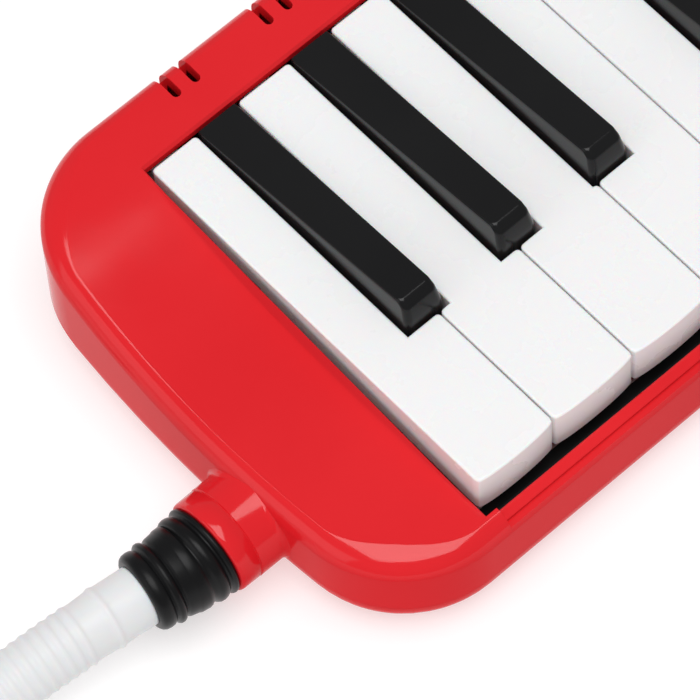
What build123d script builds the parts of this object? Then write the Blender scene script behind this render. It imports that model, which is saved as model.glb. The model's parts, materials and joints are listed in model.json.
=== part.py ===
from build123d import *
import os
from math import pi, radians, tan

os.makedirs("parts", exist_ok=True)

# A 32-key melodica, low F to high C, with its blowing hose.
# All shapes are drawn from one datum: x = 0 at the left end of the key well, y = 0 at the back line
# where the keys come out from under the cover, z = 0 at the top of the white keys.
# save() moves every piece to the part's own frame, whose origin is the middle of the underside.

# ---- keyboard ----
KEY_PITCH = 19.5            # one white key
WHITE_KEYS = 19
KEY_COUNT = 32
SHARP_STEPS = (1, 3, 5, 8, 10)      # semitones above an F that are black keys
SEMITONE = KEY_PITCH * 7 / 12       # key tails, valves and reeds are evenly spaced
FIRST_TAIL = 5.7            # centre of the lowest key's tail
WHITE_GAP = 0.5             # between neighbouring white keys
END_GAP = 1.1               # between an end key and the well's wall
WHITE_LENGTH = 88.3
NOTCH_FRONT = -58.0         # front of the notches that the black keys stand in
NOTCH_HALF = 5.1
BLACK_HALF = 4.6            # half width of a black key at the white keys' level
BLACK_TOP_HALF = 3.75
BLACK_FRONT = -57.5
BLACK_RISE = 6.3
KEY_WALL = 1.6
KEY_PLATE = 2.2
KEY_SIDE_DEPTH = 6.0
KEY_FRONT_DEPTH = 10.0
LEVER_HALF = 3.2            # half width of the lever under each key
LEVER_TOP = -4.2
LEVER_BOTTOM = -8.4
PIVOT_Y = -27.0
PIVOT_Z = -7.4
ROD_R = 1.0
TRAVEL_DEG = 4.2

# ---- case ----
WELL_LENGTH = KEY_PITCH * WHITE_KEYS
END_REACH = 27.8            # how far each bowed end stands out beyond the well
END_CORNER_X = 23.4
CORNER_R = 24.0
CASE_BACK = 14.3
CASE_FRONT = -95.7
TOP_FRONT = -6.8            # height of the end blocks beside the front half of the keys
TOP_PROFILE = [             # (y, z) from the front to the back of the case
    (-110.0, TOP_FRONT), (-72.0, TOP_FRONT), (-45.0, -5.9), (-25.0, -3.9), (-9.0, -1.1), (3.0, 1.25),
    (30.0, 1.8)]
WALL = 2.2
TOP_FILLET = 3.8
PART_LINE = -21.5
SHELL_BOTTOM = -30.5
SHELL_ROUND = 8.0
SHELL_STEP = 0.3            # the lower shell stands this far inside the upper one
FLOOR = -31.5
RAIL_BACK = -91.6
RAIL_TOP = -8.4
LIP_BOTTOM = -1.2
RAIL_INSET = 2.4            # the rail's step starts this far inside the well's ends
RAIL_STEP_Y = -94.0
RAIL_STEP = 0.8
VENT_PAIRS = 16
VENT_SPREAD = 2.35          # half the distance between the two slots of a pair
VENT_HALF = 0.95
VENT_INNER = 8.1
VENT_LOW = -3.5

# ---- air side ----
DECK_TOP = -10.5
DECK = 2.0
CELL_BOTTOM = -16.5
PLATE_BOTTOM = -17.5
BLOCK_FRONT = -44.0
BLOCK_BACK = 11.2
BLOCK_LEFT = -1.0
BLOCK_RIGHT = 366.5
GASKET_BOTTOM = -18.0
CHEST_BOTTOM = -28.0
CHEST_WALL = 1.5
TRAY_TOP = -16.5
TRAY_FRONT = -91.0

# ---- blowing end ----
PORT_Y = -57.8
PORT_Z = -18.0
PORT_FACE = -37.4
PORT_R = 9.75
PORT_BORE_R = 7.0
SPIGOT_R = 8.6              # the part of the socket that passes through the case
HOSE_R = 6.3
HOSE_BORE_R = 4.9
HOSE_TILT = 7.0             # the connector's soft outer end leans this far to the back

# ---- drain valve in the right end ----
DRAIN_Y = -30.0
DRAIN_Z = -15.8
BUTTON_R = 4.0
BUTTON_OUT = 2.6
POCKET_END = BLOCK_RIGHT + 11   # outer face of the chest's drain pocket

# ---- small parts ----
KEY_CORNER_R = 0.8
FRONT_BOW = 0.9             # how far a white key's front bulges
SKIRT_BACK = 75.0
SIDE_END = -35.0            # key side walls stop here
SPRING_Y = -40.0
SEAT_Z = -4.5
TAIL_END = 9.3
RIB_TOP = -5.7
TAIL_SIDE_DEPTH = 5.2      # key side walls are shallower here, above the pivot ribs
CELL_FRONT = -33.0
CELL_BACK = 7.6
PLATE_FRONT = -37.0
PLATE_BACK = 9.9
REED_HEEL = -28.5
CHEST_FRONT = -40.5
CHEST_SCREW_Y = -38.9
CHEST_SCREWS = [29.0 + 61.0 * number for number in range(6)]
DUCT_Y = -24.0
DUCT_Z = -22.9
DUCT_R = 4.4
SOCKET_END = -22.4
DUCT_START = SOCKET_END + 0.8
PLUG_LENGTH = 9.5
SEAL_X = -31.5
FOOT_R = 6.0
FOOT_SINK = 0.8
FEET = [(x, y) for x in (4.0, WELL_LENGTH - 4.0) for y in (-74.0, -8.0)]
# rings of the hose connector: start and end along its axis from the socket, and radii
STRAIGHT_RINGS = [(0, 0.15, 8.0), (0.15, 1.25, 9.35), (1.25, 2.0, 8.5), (2.0, 4.5, 9.1), (4.5, 5.2, 8.2)]
LEAN_AT = 5.0
CONNECTOR_BORE_R = 4.4
LEANING_RINGS = [(0, 4.4, 8.7, 8.1), (4.4, 4.9, 7.6, 7.5), (4.9, 6.6, 8.3, 8.2), (6.6, 7.0, 7.4, 7.3),
                 (7.0, 10.0, 7.9, 7.6)]
LEAN_LENGTH = 10.0
FLOOR_HOSE_Z = FLOOR + HOSE_R
HOSE_POINTS = [             # along the hose after its start, with its loop beside the left end
    (-68.01, -54.66, -18.0), (-86.0, -52.4, -21.2), (-105.0, -52.2, -24.6), (-128.0, -55.6, FLOOR_HOSE_Z),
    (-155.2, -57.7, FLOOR_HOSE_Z), (-181.8, -50.0, FLOOR_HOSE_Z), (-203.4, -32.6, FLOOR_HOSE_Z),
    (-216.7, -8.4, FLOOR_HOSE_Z), (-219.7, 19.2, FLOOR_HOSE_Z), (-212.0, 45.8, FLOOR_HOSE_Z),
    (-194.6, 67.4, FLOOR_HOSE_Z), (-170.4, 80.7, FLOOR_HOSE_Z), (-142.8, 83.7, FLOOR_HOSE_Z),
    (-116.2, 76.0, FLOOR_HOSE_Z), (-94.6, 58.6, FLOOR_HOSE_Z), (-81.3, 34.4, FLOOR_HOSE_Z)]

RIGHT_END = WELL_LENGTH + END_REACH
ORIGIN = ((PORT_FACE + RIGHT_END + BUTTON_OUT) / 2, (CASE_BACK + CASE_FRONT) / 2, FLOOR)


def save(name, *solids):
    """Write one piece, or one group of like pieces, in the part's own frame."""
    shape = Compound(children=list(solids)) if len(solids) > 1 else solids[0]
    move = Pos(-ORIGIN[0], -ORIGIN[1], -ORIGIN[2])
    export_step(move * shape, f"parts/{name}.step")


def block(x0, x1, y0, y1, z0, z1):
    return Pos((x0 + x1) / 2, (y0 + y1) / 2, (z0 + z1) / 2) * Box(x1 - x0, y1 - y0, z1 - z0)


def rod_x(x0, x1, y, z, r):
    return Pos((x0 + x1) / 2, y, z) * Rot(0, 90, 0) * Cylinder(r, x1 - x0)


def rod_z(x, y, z0, z1, r):
    return Pos(x, y, (z0 + z1) / 2) * Cylinder(r, z1 - z0)


def side_prism(points, x0, x1):
    """A profile of (y, z) points, extruded from x0 to x1."""
    face = make_face(Plane.YZ * Polyline(*points, close=True))
    return Pos(x0, 0, 0) * extrude(face, x1 - x0, dir=(1, 0, 0))


def tail_x(step):
    return FIRST_TAIL + SEMITONE * step


def is_sharp(step):
    return step % 12 in SHARP_STEPS


# ---------------------------------------------------------------- case


def outline(inset):
    """The case seen from above: straight front and back, bowed ends and round corners."""
    left, right = -END_CORNER_X + inset, WELL_LENGTH + END_CORNER_X - inset
    back, front = CASE_BACK - inset, CASE_FRONT + inset
    middle = (back + front) / 2
    bow = END_REACH - END_CORNER_X
    lines = [
        Line((left, back), (right, back)),
        ThreePointArc((right, back), (right + bow, middle), (right, front)),
        Line((right, front), (left, front)),
        ThreePointArc((left, front), (left - bow, middle), (left, back)),
    ]
    face = make_face(Curve() + lines)
    return fillet(face.vertices(), CORNER_R - inset)


def under_top(drop, low):
    """Everything below the case's top surface, which dips from the back cover to the end blocks."""
    sweep = Spline(*TOP_PROFILE, tangents=((1, 0), (1, 0)))
    y_front, y_back = TOP_PROFILE[0][0], TOP_PROFILE[-1][0]
    base = Polyline(TOP_PROFILE[-1], (y_back, low + drop), (y_front, low + drop), TOP_PROFILE[0])
    face = make_face(Plane.YZ * (Curve() + [sweep, base]))
    return Pos(-60, 0, -drop) * extrude(face, WELL_LENGTH + 120, dir=(1, 0, 0))


def case_solid(inset, drop, low):
    tall = Pos(0, 0, low) * extrude(outline(inset), 60 - low)
    return tall & under_top(drop, low - 1)


def post(x, y, top, r, pilot):
    """A hollow screw post standing on the parting line."""
    return rod_z(x, y, PART_LINE, top, r) - rod_z(x, y, PART_LINE - 1, PART_LINE + 12, pilot)


CASE_SCREWS = [(-15.0, -80.0), (-14.0, -1.0), (WELL_LENGTH + 15.0, -80.0), (WELL_LENGTH + 14.0, -1.0)]
FLOOR_SCREWS = [(x, -62.0) for x in (48.0, 139.0, 231.5, 322.5)]
EAR_SCREWS = [(-6.5, -72.0), (-6.5, -10.0), (WELL_LENGTH + 6.5, -72.0), (WELL_LENGTH + 6.5, -10.0)]
EAR_TOP = -14.5


def top_rim(solid):
    """The edges round the top, without the two lines across it where its curve starts and ends."""
    across = WELL_LENGTH + 2 * END_CORNER_X
    rim = ShapeList()
    for edge in solid.edges():
        box = edge.bounding_box()
        upright = box.size.Z > 5 and box.size.X < 0.01 and box.size.Y < 0.01
        low = box.max.Z < TOP_FRONT - 0.5
        crossing = box.size.X > across * 0.9 and abs(edge.center().Y - CASE_BACK) > 1 and (
            abs(edge.center().Y - CASE_FRONT) > 1)
        if not (upright or low or crossing):
            rim.append(edge)
    return rim


def make_upper():
    outer = case_solid(0, 0, PART_LINE)
    rim = top_rim(outer)
    outer = fillet(rim, TOP_FILLET)
    body = outer - case_solid(WALL, WALL, PART_LINE - 2)
    body -= block(0, WELL_LENGTH, RAIL_BACK, 0.4, -30, 10)
    # walls of the key well, and the bar of the front rail
    walls = block(-1.8, WELL_LENGTH + 1.8, 0.4, 2.2, LIP_BOTTOM, 5)
    for inner, outer_side in ((0, -1.8), (WELL_LENGTH, WELL_LENGTH + 1.8)):
        left, right = sorted((inner, outer_side))
        walls += block(left, right, RAIL_BACK - 2, BLOCK_FRONT - 0.4, -14, 5)
        walls += block(left, right, BLOCK_FRONT - 1, 2.2, DECK_TOP + 0.3, 5)
    walls += block(-1.8, WELL_LENGTH + 1.8, CASE_FRONT, RAIL_BACK, -12.5, 5)
    body += walls & outer
    # the rail is lower than the end blocks, with a small step along its front
    body -= block(RAIL_INSET, WELL_LENGTH - RAIL_INSET, CASE_FRONT - 5, RAIL_BACK + 0.1, RAIL_TOP, 10)
    body -= block(RAIL_INSET, WELL_LENGTH - RAIL_INSET, CASE_FRONT - 5, RAIL_STEP_Y, RAIL_TOP - RAIL_STEP, 10)
    body -= side_prism([(0.3, 0.2), (0.3, 3), (1.3, 3), (1.3, 1.35)], 0, WELL_LENGTH)
    # screw posts
    for x, y in CASE_SCREWS:
        body += post(x, y, 2, 3.2, 1.1) & outer
    for x, y in EAR_SCREWS:
        stud = rod_z(x, y, EAR_TOP, 2, 2.6) & outer
        body += stud - rod_z(x, y, EAR_TOP - 1, EAR_TOP + 6, 0.9)
    # air slots along the back, a pair behind every second valve
    for pair in range(VENT_PAIRS):
        for side in (-1, 1):
            x = tail_x(1 + 2 * pair) + side * VENT_SPREAD
            body -= block(x - VENT_HALF, x + VENT_HALF, VENT_INNER, CASE_BACK + 5, VENT_LOW, 10)
            body -= rod_z(x, VENT_INNER, VENT_LOW, 10, VENT_HALF)
    # holes in the ends for the blowing socket and the drain button
    body -= rod_x(-40, -20, PORT_Y, PORT_Z, SPIGOT_R + 0.05)
    body -= rod_x(WELL_LENGTH + 10, RIGHT_END + 5, DRAIN_Y, DRAIN_Z, BUTTON_R + 0.25)
    return body


def make_lower():
    outer = Pos(0, 0, SHELL_BOTTOM) * extrude(outline(SHELL_STEP), PART_LINE - SHELL_BOTTOM)
    outer = fillet(outer.edges().group_by(Axis.Z)[0], SHELL_ROUND)
    inset = SHELL_STEP + WALL
    inner = Pos(0, 0, SHELL_BOTTOM + WALL) * extrude(outline(inset), 30)
    inner = fillet(inner.edges().group_by(Axis.Z)[0], SHELL_ROUND - WALL)
    body = outer - inner
    top = PART_LINE - 0.05
    for x, y in CASE_SCREWS:
        body += rod_z(x, y, SHELL_BOTTOM + 1, top, 3.2) & outer
    for x, y in FLOOR_SCREWS:
        body += rod_z(x, y, SHELL_BOTTOM + 1, TRAY_TOP - 2.05, 3.2)
    for x, y in CASE_SCREWS + FLOOR_SCREWS:
        body -= rod_z(x, y, SHELL_BOTTOM - 1, TRAY_TOP, 1.4)
        body -= rod_z(x, y, SHELL_BOTTOM - 1, SHELL_BOTTOM + 3, 2.7)
    for x, y in FEET:
        body -= rod_z(x, y, SHELL_BOTTOM - 1, SHELL_BOTTOM + FOOT_SINK, FOOT_R)
    body -= rod_x(-40, -20, PORT_Y, PORT_Z, SPIGOT_R + 0.05)
    return body, outer


def make_socket(case_outer):
    """A round socket outside the case, with a flared foot, a spigot through the wall and a flange inside."""
    foot = Pos(-26.3, PORT_Y, PORT_Z) * Rot(0, -90, 0) * Cone(PORT_R + 1.8, PORT_R, 4.0,
                                                              align=(Align.CENTER, Align.CENTER, Align.MIN))
    body = rod_x(PORT_FACE, -24, PORT_Y, PORT_Z, PORT_R) + foot
    body -= case_outer
    body += rod_x(-31, SOCKET_END, PORT_Y, PORT_Z, SPIGOT_R)
    flange = rod_x(SOCKET_END - 1.8, SOCKET_END, PORT_Y, PORT_Z, SPIGOT_R + 2.0)
    body += flange & block(-40, 0, -90, 0, PART_LINE + 0.1, -9.4)
    body -= rod_x(PORT_FACE - 1, SOCKET_END + 1, PORT_Y, PORT_Z, PORT_BORE_R)
    rim = [e for e in body.edges() if abs(e.center().X - PORT_FACE) < 0.01 and e.length > 2 * pi * PORT_BORE_R + 2]
    return fillet(rim, 0.6)


def ring(x0, x1, r):
    return rod_x(x0, x1, PORT_Y, PORT_Z, r)


def make_connector():
    """Rubber connector: a plug in the socket, two rings, then a softer ringed end that leans back."""
    plug = ring(PORT_FACE, PORT_FACE + PLUG_LENGTH, PORT_BORE_R - 0.3)
    for s0, s1, r in STRAIGHT_RINGS:
        plug += ring(PORT_FACE - s1, PORT_FACE - s0, r)
    end = None
    for s0, s1, r0, r1 in LEANING_RINGS:
        step = Pos(-s0, 0, 0) * Rot(0, -90, 0) * Cone(r0, r1, s1 - s0, align=(Align.CENTER, Align.CENTER, Align.MIN))
        end = step if end is None else end + step
    plug += lean(end)
    plug -= ring(PORT_FACE - LEAN_AT, PORT_FACE + PLUG_LENGTH + 1, CONNECTOR_BORE_R)
    plug -= lean(rod_x(-20, 0.6, 0, 0, CONNECTOR_BORE_R - 0.2))
    plug -= ring(SEAL_X - 1.0, SEAL_X + 1.0, 12) - ring(SEAL_X - 2, SEAL_X + 2, 5.55)
    return plug


def lean(shape):
    return Pos(PORT_FACE - LEAN_AT, PORT_Y, PORT_Z) * Rot(0, 0, -HOSE_TILT) * shape


def hose_route():
    start = lean(Pos(-LEAN_LENGTH, 0, 0)).position
    points = [(start.X, start.Y, start.Z)] + HOSE_POINTS
    vectors = [Vector(*p) for p in points]
    radii = []
    for a, b, c in zip(vectors, vectors[1:], vectors[2:]):
        turn = radians((b - a).get_angle(c - b))
        radii.append(0.45 * min((b - a).length, (c - b).length) / tan(turn / 2))
    print("hose bend radii", [round(r, 1) for r in radii])
    return vectors, FilletPolyline(*vectors, radius=radii)


def make_hose():
    vectors, path = hose_route()
    first = Plane(origin=vectors[0], z_dir=vectors[1] - vectors[0])
    tube = sweep(first * Circle(HOSE_R), path) - sweep(first * Circle(HOSE_BORE_R), path)
    print("hose length", round(path.length, 1), "volume over section x length",
          round(tube.volume / (pi * (HOSE_R**2 - HOSE_BORE_R**2) * path.length), 4))
    return tube, vectors


def make_mouthpiece(vectors):
    """A round socket for the hose that flattens to an oval mouth end."""
    along = (vectors[-1] - vectors[-2]).normalized()
    base = Plane(origin=vectors[-1], x_dir=Vector(0, 0, 1).cross(along), z_dir=along)
    def oval(step, a, b):
        return base.offset(step) * Ellipse(a, b)
    def round_end(step, r):
        return base.offset(step) * Circle(r)
    collar = extrude(round_end(0, HOSE_R), 9)
    body = loft([round_end(9, HOSE_R), oval(24, 7.6, 5.6), oval(40, 8.6, 4.4)])
    mouth = extrude(oval(40, 8.6, 4.4), 8) + extrude(oval(46.5, 9.3, 5.0), 1.5)
    bore = loft([round_end(-1, 4.4), oval(24, 5.4, 3.6), oval(40, 6.4, 2.4)]) + extrude(oval(40, 6.4, 2.4), 12)
    return collar + body + mouth - bore


# ---------------------------------------------------------------- keys


def tail_limits(step):
    """Where a white key's back part runs, between the notches of its black neighbours."""
    octave, tone = divmod(step, 12)
    white_no = octave * 7 + (0, 2, 4, 6, 7, 9, 11).index(tone)
    left, right = white_no * KEY_PITCH, (white_no + 1) * KEY_PITCH
    left += END_GAP if white_no == 0 else WHITE_GAP / 2
    right -= END_GAP if white_no == WHITE_KEYS - 1 else WHITE_GAP / 2
    back_left = tail_x(step - 1) + NOTCH_HALF if step and is_sharp(step - 1) else left
    back_right = tail_x(step + 1) - NOTCH_HALF if step < KEY_COUNT - 1 and is_sharp(step + 1) else right
    return left, right, back_left, back_right


def white_outline(step):
    left, right, back_left, back_right = tail_limits(step)
    back = -0.3
    points = [(left, -WHITE_LENGTH), (left, back)] if back_left == left else [
        (left, -WHITE_LENGTH), (left, NOTCH_FRONT), (back_left, NOTCH_FRONT), (back_left, back)]
    points += [(right, back), (right, -WHITE_LENGTH)] if back_right == right else [
        (back_right, back), (back_right, NOTCH_FRONT), (right, NOTCH_FRONT), (right, -WHITE_LENGTH)]
    front = ThreePointArc((right, -WHITE_LENGTH), ((left + right) / 2, -WHITE_LENGTH - FRONT_BOW),
                          (left, -WHITE_LENGTH))
    return make_face(Curve() + [Polyline(*points), front])


def lever(step):
    """The lever under a key: spring seat in front, pivot boss, and the tail that carries the pad."""
    x = tail_x(step)
    beam = side_prism([(SPRING_Y - 5, -1.5), (SPRING_Y - 5, SEAT_Z), (PIVOT_Y - 6, SEAT_Z),
                       (PIVOT_Y - 2, LEVER_BOTTOM), (TAIL_END, LEVER_BOTTOM), (TAIL_END, LEVER_TOP),
                       (-0.3, LEVER_TOP), (-0.3, -1.5)], x - LEVER_HALF, x + LEVER_HALF)
    return beam + rod_x(x - LEVER_HALF, x + LEVER_HALF, PIVOT_Y, PIVOT_Z, 2.6)


def pad(step):
    x = tail_x(step)
    return block(x - LEVER_HALF, x + LEVER_HALF, -1.0, TAIL_END - 0.5, DECK_TOP + 0.05, LEVER_BOTTOM)


def bore(step):
    return rod_x(tail_x(step) - 10, tail_x(step) + 10, PIVOT_Y, PIVOT_Z, ROD_R + 0.06)


def make_white(step):
    slab = Pos(0, 0, -KEY_FRONT_DEPTH) * extrude(white_outline(step), KEY_FRONT_DEPTH)
    corners = [e for e in slab.edges().filter_by(Axis.Z) if not -WHITE_LENGTH + 0.5 < e.center().Y < -1]
    slab = fillet(corners, KEY_CORNER_R)
    left, right, back_left, back_right = tail_limits(step)
    # side walls are shallower behind the front skirt, and again above the pivot ribs
    slab -= block(left - 1, right + 1, -SKIRT_BACK, 5, -20, -KEY_SIDE_DEPTH)
    slab -= block(left - 1, right + 1, SIDE_END, 5, -20, -TAIL_SIDE_DEPTH)
    slab -= block(left + KEY_WALL, right - KEY_WALL, -WHITE_LENGTH + 1.5, NOTCH_FRONT - KEY_WALL, -20, -KEY_PLATE)
    slab -= block(back_left + KEY_WALL, back_right - KEY_WALL, NOTCH_FRONT - 3, -2, -20, -KEY_PLATE)
    top = [e for e in slab.edges() if abs(e.center().Z) < 0.01]
    slab = fillet(top, 0.7)
    return slab + lever(step) - bore(step)


def make_black(step):
    x = tail_x(step)
    z_front = BLACK_RISE
    side = [(BLACK_FRONT, -KEY_SIDE_DEPTH), (BLACK_FRONT, 0), (BLACK_FRONT + 1.4, z_front - 1.4),
            (BLACK_FRONT + 3.1, z_front), (-0.5, 0.7), (-0.5, -KEY_PLATE), (SIDE_END, -KEY_PLATE),
            (SIDE_END, -KEY_SIDE_DEPTH)]
    profile = side_prism(side, x - 8, x + 8)
    slope = (BLACK_HALF - BLACK_TOP_HALF) / z_front
    section = make_face(Plane.XZ * Polyline(
        (x - BLACK_HALF, -10), (x - BLACK_HALF, 0), (x - BLACK_HALF + slope * 10, 10),
        (x + BLACK_HALF - slope * 10, 10), (x + BLACK_HALF, 0), (x + BLACK_HALF, -10), close=True))
    body = profile & (Pos(0, 10, 0) * extrude(section, 90, dir=(0, -1, 0)))
    rounded = [e for e in body.edges() if e.center().Z > 0.3 and abs(e.center().X - x) > 2]
    body = fillet(rounded, 0.55)
    hollow = [(BLACK_FRONT + KEY_WALL + 1, -20), (BLACK_FRONT + KEY_WALL + 1, z_front - 4.5),
              (BLACK_FRONT + 5, z_front - 3), (SIDE_END + 1, -0.5), (SIDE_END + 1, -20)]
    body -= side_prism(hollow, x - BLACK_TOP_HALF + KEY_WALL, x + BLACK_TOP_HALF - KEY_WALL)
    return body + lever(step) - bore(step)


# ---------------------------------------------------------------- key frame and air parts


def make_frame():
    """The black frame: a tray under the key fronts, the valve deck with its cells, and pivot ribs."""
    tray = block(0.2, WELL_LENGTH - 0.2, TRAY_FRONT, BLOCK_FRONT + 1, TRAY_TOP - 2, TRAY_TOP)
    tray += block(0.2, WELL_LENGTH - 0.2, TRAY_FRONT, TRAY_FRONT + 1.4, TRAY_TOP - 2, -12.8)
    body = tray + block(BLOCK_LEFT, BLOCK_RIGHT, BLOCK_FRONT, BLOCK_BACK, CELL_BOTTOM, DECK_TOP)
    for x, y in EAR_SCREWS:
        edge, side = (0.2, -1) if x < 0 else (WELL_LENGTH - 0.2, 1)
        if y < BLOCK_FRONT:
            reach = edge - side * 6
        else:
            reach = (BLOCK_LEFT + 1) if side < 0 else (BLOCK_RIGHT - 1)
        left, right = sorted((reach, x + side * 4))
        body += block(left, right, y - 4, y + 4, TRAY_TOP, EAR_TOP - 0.05)
        body -= rod_z(x, y, -30, 0, 1.3)
    for x, y in FLOOR_SCREWS:
        body += rod_z(x, y, TRAY_TOP - 1, -13.0, 2.6)
        body -= rod_z(x, y, -30, -13.6, 1.1)
    for x in CHEST_SCREWS:
        body -= rod_z(x, CHEST_SCREW_Y, -30, -12.6, 0.85)
    for step in range(KEY_COUNT):
        x = tail_x(step)
        cell = SEMITONE / 2 - 0.7
        body -= block(x - cell, x + cell, CELL_FRONT, CELL_BACK, CELL_BOTTOM - 1, DECK_TOP - DECK)
        body -= block(x - 1.9, x + 1.9, 0.8, 6.2, DECK_TOP - DECK - 1, DECK_TOP + 1)
    for rib in range(KEY_COUNT + 1):
        x = tail_x(rib) - SEMITONE / 2
        x = max(x, 0.8)
        body += block(x - 0.7, x + 0.7, PIVOT_Y - 3, PIVOT_Y + 3, DECK_TOP - 0.5, RIB_TOP)
    for x, y in plate_screws(0, 15) + plate_screws(16, 31):
        body -= rod_z(x, y, -30, CELL_BOTTOM + 3.4, 0.75)
    return body - rod_x(-10, WELL_LENGTH + 10, PIVOT_Y, PIVOT_Z, ROD_R + 0.02)


def reed_length(step):
    return 31.0 - 17.0 * step / (KEY_COUNT - 1)


def make_plate(first, last):
    """A reed plate with one slot for each reed, and rivet and screw holes."""
    left, right = tail_x(first) - SEMITONE / 2 + 0.5, tail_x(last) + SEMITONE / 2 - 0.5
    plate = block(left, right, PLATE_FRONT, PLATE_BACK, PLATE_BOTTOM, CELL_BOTTOM)
    for step in range(first, last + 1):
        x, length = tail_x(step), reed_length(step)
        plate -= block(x - 1.35, x + 1.35, REED_HEEL + 2.2, REED_HEEL + 2.2 + length, -30, 0)
        plate -= rod_z(x, REED_HEEL, -30, 0, 0.8)
    for x, y in plate_screws(first, last):
        plate -= rod_z(x, y, -30, 0, 0.75)
    return plate


def plate_screws(first, last):
    steps = (first, (first + last) // 2, last - 1)
    return [(tail_x(step) + SEMITONE / 2, y) for step in steps for y in (PLATE_FRONT + 1.8, PLATE_BACK - 1.4)]


def make_reeds():
    reeds = []
    for step in range(KEY_COUNT):
        x, length = tail_x(step), reed_length(step)
        tongue = block(x - 1.2, x + 1.2, REED_HEEL, REED_HEEL + 2 + length, PLATE_BOTTOM - 0.25, PLATE_BOTTOM)
        heel = block(x - 1.8, x + 1.8, REED_HEEL - 1.8, REED_HEEL + 1.8, PLATE_BOTTOM - 0.25, PLATE_BOTTOM)
        reeds.append(tongue + heel - rod_z(x, REED_HEEL, -30, 0, 0.8))
    return reeds


def make_rivets():
    rivets = []
    for step in range(KEY_COUNT):
        x = tail_x(step)
        shank = rod_z(x, REED_HEEL, PLATE_BOTTOM - 0.25, CELL_BOTTOM, 0.8)
        head = rod_z(x, REED_HEEL, PLATE_BOTTOM - 0.75, PLATE_BOTTOM - 0.25, 1.3)
        rivets.append(shank + head)
    return rivets


def make_gasket():
    ring = block(BLOCK_LEFT, BLOCK_RIGHT, CHEST_FRONT, BLOCK_BACK, GASKET_BOTTOM, CELL_BOTTOM)
    ring -= block(BLOCK_LEFT + 1.3, BLOCK_RIGHT - 1.3, CHEST_FRONT + 3.2, BLOCK_BACK - 1.1, -30, 0)
    for x in CHEST_SCREWS:
        ring -= rod_z(x, CHEST_SCREW_Y, -30, 0, 0.85)
    return ring


def make_chest():
    """The wind chest under the reeds, with a tall pocket at its right end for the drain."""
    slope = CHEST_BOTTOM + 5.1
    body = side_prism([(CHEST_FRONT, CHEST_BOTTOM), (5.5, CHEST_BOTTOM), (BLOCK_BACK, slope),
                       (BLOCK_BACK, GASKET_BOTTOM), (CHEST_FRONT, GASKET_BOTTOM)], BLOCK_LEFT, BLOCK_RIGHT)
    pocket_l, pocket_r = BLOCK_RIGHT, POCKET_END
    pocket = block(pocket_l - 1, pocket_r, DRAIN_Y - 8, DRAIN_Y + 8, CHEST_BOTTOM, DECK_TOP)
    body += pocket - block(pocket_l - 5, pocket_l + 0.1, -90, 90, GASKET_BOTTOM, 10)
    low = CHEST_BOTTOM + CHEST_WALL
    hollow = side_prism([(CHEST_FRONT + CHEST_WALL, low), (4.9, low), (BLOCK_BACK - CHEST_WALL, slope + 0.6),
                         (BLOCK_BACK - CHEST_WALL, 0), (CHEST_FRONT + CHEST_WALL, 0)],
                        BLOCK_LEFT + CHEST_WALL, BLOCK_RIGHT - CHEST_WALL)
    for x in CHEST_SCREWS:
        hollow -= rod_z(x, CHEST_SCREW_Y, -40, 5, 2.4)
        body += rod_z(x, CHEST_SCREW_Y, CHEST_BOTTOM, GASKET_BOTTOM, 2.4)
    body -= hollow
    for x in CHEST_SCREWS:
        body -= rod_z(x, CHEST_SCREW_Y, -40, 0, 0.85)
        body -= rod_z(x, CHEST_SCREW_Y, -40, CHEST_BOTTOM + 1.6, 1.7)
    body -= block(pocket_l - 3, pocket_r - CHEST_WALL, DRAIN_Y - 6.5, DRAIN_Y + 6.5, CHEST_BOTTOM + CHEST_WALL,
                  GASKET_BOTTOM - 1.5)
    body -= block(pocket_l + 1.5, pocket_r - CHEST_WALL, DRAIN_Y - 6.5, DRAIN_Y + 6.5, CHEST_BOTTOM + CHEST_WALL, DECK_TOP - 1.1)
    body -= rod_x(BLOCK_LEFT - 1, BLOCK_LEFT + 3, DUCT_Y, DUCT_Z, DUCT_R + 0.03)
    body -= rod_x(pocket_r - 3, pocket_r + 1, DRAIN_Y, DRAIN_Z, 2.6)
    return body


def make_duct():
    """The air duct from the socket round to the wind chest."""
    route = [Vector(DUCT_START, PORT_Y, PORT_Z), Vector(-10, PORT_Y, PORT_Z - 1.5),
             Vector(-11.5, DUCT_Y, DUCT_Z), Vector(BLOCK_LEFT + CHEST_WALL, DUCT_Y, DUCT_Z)]
    path = FilletPolyline(*route, radius=6.0)
    first = Plane(origin=route[0], z_dir=route[1] - route[0])
    tube = sweep(first * Circle(DUCT_R), path)
    flange = rod_x(DUCT_START, DUCT_START + 1.5, PORT_Y, PORT_Z, SPIGOT_R)
    tube += flange
    tube -= sweep(first * Circle(DUCT_R - 1), path)
    return tube


def coil(x, y, z0, z1, r, turns, wire):
    """A round-wire compression spring standing on z0."""
    height = z1 - z0 - 2 * wire
    helix = Helix(height / turns, height, r)
    section = Plane(origin=helix @ 0, z_dir=helix % 0) * Circle(wire)
    return Pos(x, y, z0 + wire) * sweep(section, helix, is_frenet=True)


def screw(x, y, z0, z1, shank, head, head_z):
    """A pan-head screw with its head at the bottom and a cross recess."""
    body = rod_z(x, y, z0, z1, shank) + rod_z(x, y, z0, z0 + head_z, head)
    slot = block(x - head * 0.6, x + head * 0.6, y - 0.3, y + 0.3, z0 - 1, z0 + head_z * 0.5)
    cross = block(x - 0.3, x + 0.3, y - head * 0.6, y + head * 0.6, z0 - 1, z0 + head_z * 0.5)
    return body - slot - cross


# ---------------------------------------------------------------- drain


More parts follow.
